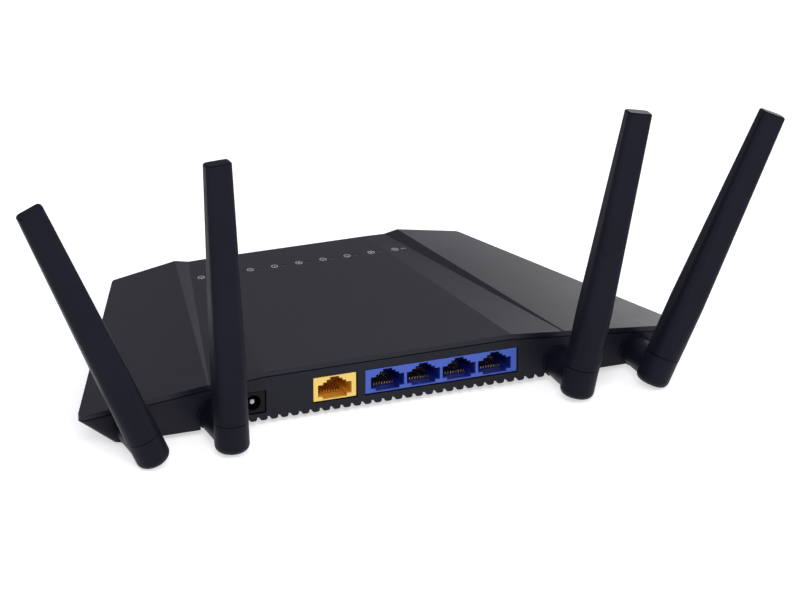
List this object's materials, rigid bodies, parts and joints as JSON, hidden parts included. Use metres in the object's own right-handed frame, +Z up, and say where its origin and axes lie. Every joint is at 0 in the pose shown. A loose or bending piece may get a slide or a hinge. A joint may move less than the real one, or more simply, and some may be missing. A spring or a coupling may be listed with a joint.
{
  "type": "wireless router",
  "caption": "Wireless router: low trapezoid case with network sockets along the rear wall and swivelling stick antennas behind it.",
  "frame": {"origin": "on the underside of the case, midway between the two wall keyholes", "axes": "+Z up, +Y towards the rear wall with the sockets, front edge towards -Y, +X to the right seen from the front"},
  "size_m": [0.2893, 0.1313, 0.111],
  "materials": {
    "case_black": "satin",
    "antenna_black": "satin",
    "lan_blue": "satin",
    "wan_yellow": "satin",
    "contact_gold": "polished",
    "socket_black": "matte",
    "steel": "brushed",
    "foot_rubber": "matte",
    "label_grey": "matte",
    "board_green": "satin",
    "chip_black": "matte",
    "shield_tin": "brushed",
    "sink_aluminium": "satin",
    "pad_grey": "matte",
    "lens_smoke": "polished",
    "led_white": "polished",
    "radiator_brass": "satin",
    "lead_grey": "matte"
  },
  "bodies": {
    "case": {"antenna_1_lead": "lead_grey", "antenna_2_lead": "lead_grey", "antenna_3_lead": "lead_grey", "antenna_4_lead": "lead_grey", "board_screws": "steel", "bottom_case": "case_black", "case_screws": "steel", "crystal": "shield_tin", "dc_jack_body": "socket_black", "dc_jack_pin": "steel", "dc_jack_spring": "steel", "filter_capacitor_1": "sink_aluminium", "filter_capacitor_2": "sink_aluminium", "flash_chip": "chip_black", "foot_front_left": "foot_rubber", "foot_front_right": "foot_rubber", "foot_rear_left": "foot_rubber", "foot_rear_right": "foot_rubber", "heat_sink": "sink_aluminium", "lan_contacts": "contact_gold", "lan_jack_block": "lan_blue", "lan_transformer": "chip_black", "light_guide": "lens_smoke", "main_board": "board_green", "memory_chip": "chip_black", "power_inductor": "chip_black", "processor": "chip_black", "rating_label": "label_grey", "reset_switch": "socket_black", "shield_2g": "shield_tin", "shield_5g": "shield_tin", "status_leds": "led_white", "thermal_pad": "pad_grey", "top_cover": "case_black", "wan_contacts": "contact_gold", "wan_jack": "wan_yellow", "wan_transformer": "chip_black"},
    "antenna_1_swivel": {"antenna_1_knuckle": "antenna_black", "antenna_1_clip": "steel"},
    "antenna_1_mast": {"antenna_1_blade": "antenna_black", "antenna_1_radiator": "radiator_brass"},
    "antenna_2_swivel": {"antenna_2_knuckle": "antenna_black", "antenna_2_clip": "steel"},
    "antenna_2_mast": {"antenna_2_blade": "antenna_black", "antenna_2_radiator": "radiator_brass"},
    "antenna_3_swivel": {"antenna_3_knuckle": "antenna_black", "antenna_3_clip": "steel"},
    "antenna_3_mast": {"antenna_3_blade": "antenna_black", "antenna_3_radiator": "radiator_brass"},
    "antenna_4_swivel": {"antenna_4_knuckle": "antenna_black", "antenna_4_clip": "steel"},
    "antenna_4_mast": {"antenna_4_blade": "antenna_black", "antenna_4_radiator": "radiator_brass"},
    "button": {"reset_button": "socket_black"}
  },
  "joints": [
    {"name": "antenna_1_swing", "type": "hinge", "parent": "case", "child": "antenna_1_swivel", "pos_m": [0.098, 0.072, 0.0053], "axis": [0, 1, 0], "range_deg": [-8.4, 66.6]},
    {"name": "antenna_1_twist", "type": "hinge", "parent": "antenna_1_swivel", "child": "antenna_1_mast", "pos_m": [0.098, 0.072, 0.0053], "axis": [0.3971, 0, 0.9178], "range_deg": [-90, 90]},
    {"name": "antenna_2_swing", "type": "hinge", "parent": "case", "child": "antenna_2_swivel", "pos_m": [0.067, 0.072, 0.0053], "axis": [0, 1, 0], "range_deg": [-32.1, 10.9]},
    {"name": "antenna_2_twist", "type": "hinge", "parent": "antenna_2_swivel", "child": "antenna_2_mast", "pos_m": [0.067, 0.072, 0.0053], "axis": [0.0366, 0, 0.9993], "range_deg": [-90, 90]},
    {"name": "antenna_3_swing", "type": "hinge", "parent": "case", "child": "antenna_3_swivel", "pos_m": [-0.067, 0.072, 0.0053], "axis": [0, 1, 0], "range_deg": [-0.9, 42.1]},
    {"name": "antenna_3_twist", "type": "hinge", "parent": "antenna_3_swivel", "child": "antenna_3_mast", "pos_m": [-0.067, 0.072, 0.0053], "axis": [-0.2096, 0, 0.9778], "range_deg": [-90, 90]},
    {"name": "antenna_4_swing", "type": "hinge", "parent": "case", "child": "antenna_4_swivel", "pos_m": [-0.098, 0.072, 0.0053], "axis": [0, 1, 0], "range_deg": [-64.8, 10.2]},
    {"name": "antenna_4_twist", "type": "hinge", "parent": "antenna_4_swivel", "child": "antenna_4_mast", "pos_m": [-0.098, 0.072, 0.0053], "axis": [-0.4258, 0, 0.9048], "range_deg": [-90, 90]},
    {"name": "reset_press", "type": "slide", "parent": "case", "child": "button", "axis": [0, -1, 0], "range_m": [0, 0.0006], "stiffness_N_per_m": 300}
  ]
}
